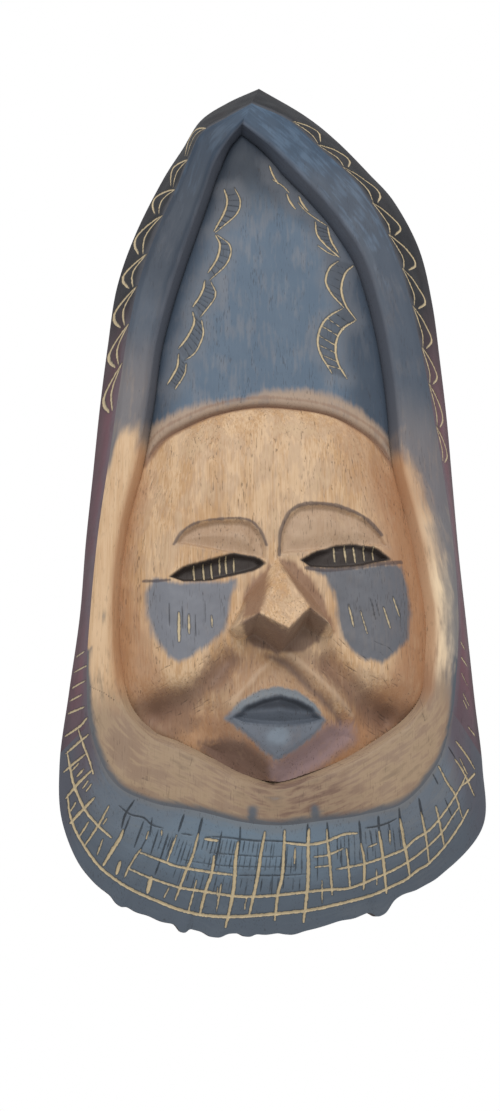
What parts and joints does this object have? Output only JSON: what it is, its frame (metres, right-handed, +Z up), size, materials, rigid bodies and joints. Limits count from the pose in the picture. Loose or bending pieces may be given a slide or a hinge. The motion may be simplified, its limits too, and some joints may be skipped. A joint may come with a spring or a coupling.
{
  "type": "wall mask",
  "caption": "Tall pointed-arch wall mask carved in relief from one block, with a hollowed flat-rimmed back, and two screwed strap hangers that hold swinging D-rings.",
  "frame": {"origin": "in the plane of the back's flat rim, midway between the hinge axes of the two hanger rings, where the mask is held when it hangs", "axes": "+Z up as the mask hangs, +X to the right seen from the front, -Y out of the carved front, +Y towards the wall"},
  "size_m": [0.272, 0.0945, 0.6026],
  "materials": {
    "carved_wood": "hand-carved wood rubbed with blue-grey, umber and rust stain, matt, with pale incised lines",
    "plated_steel": "zinc-plated sheet and wire, satin",
    "screw_steel": "yellow-passivated screws, satin"
  },
  "bodies": {
    "mask": {"mask_body": "carved_wood", "left_hanger_strap": "plated_steel", "right_hanger_strap": "plated_steel", "left_upper_screw": "screw_steel", "left_lower_screw": "screw_steel", "right_upper_screw": "screw_steel", "right_lower_screw": "screw_steel"},
    "left_ring": {"left_hanger_ring": "plated_steel"},
    "right_ring": {"right_hanger_ring": "plated_steel"}
  },
  "joints": [
    {"name": "left_ring_swing", "type": "hinge", "parent": "mask", "child": "left_ring", "pos_m": [-0.095, 0.0035, 0], "axis": [1, 0, 0], "range_deg": [0, 180]},
    {"name": "right_ring_swing", "type": "hinge", "parent": "mask", "child": "right_ring", "pos_m": [0.095, 0.0035, 0], "axis": [1, 0, 0], "range_deg": [0, 180]}
  ]
}
